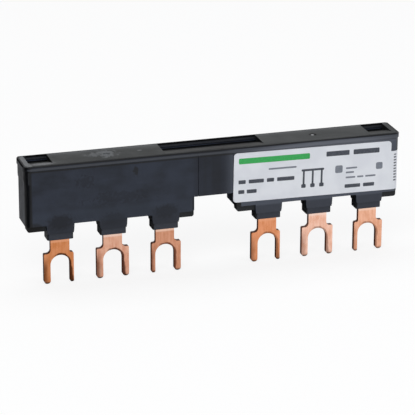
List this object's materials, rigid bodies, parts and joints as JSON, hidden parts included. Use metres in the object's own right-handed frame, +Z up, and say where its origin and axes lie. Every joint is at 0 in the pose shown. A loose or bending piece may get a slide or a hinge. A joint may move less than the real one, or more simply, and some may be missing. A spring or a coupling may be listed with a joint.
{
  "type": "three-pole comb busbar",
  "caption": "Comb busbar: copper combs in a black moulded housing, their slotted forks in two groups under it, with a plain grey label.",
  "frame": {"origin": "centre of the round end of the first fork's slot, in the middle of the sheet", "axes": "+X along the bar from the first fork to the last, +Y towards the back, +Z up from the forks to the housing"},
  "size_m": [0.0982, 0.0096, 0.0315],
  "materials": {
    "housing": "fine satin moulded",
    "cover": "fine satin moulded",
    "carrier": "satin moulded",
    "separator": "plain moulded",
    "copper_l1": "bare stamped copper, slightly tarnished",
    "copper_l2": "bare stamped copper",
    "copper_l3": "bare stamped copper",
    "label": "satin printed film"
  },
  "bodies": {
    "root": {"housing": "housing", "top_cover": "cover", "carrier_left": "carrier", "carrier_right": "carrier", "comb_l1": "copper_l1", "comb_l2": "copper_l2", "comb_l3": "copper_l3", "separator_front": "separator", "separator_rear": "separator", "label": "label"}
  },
  "joints": []
}
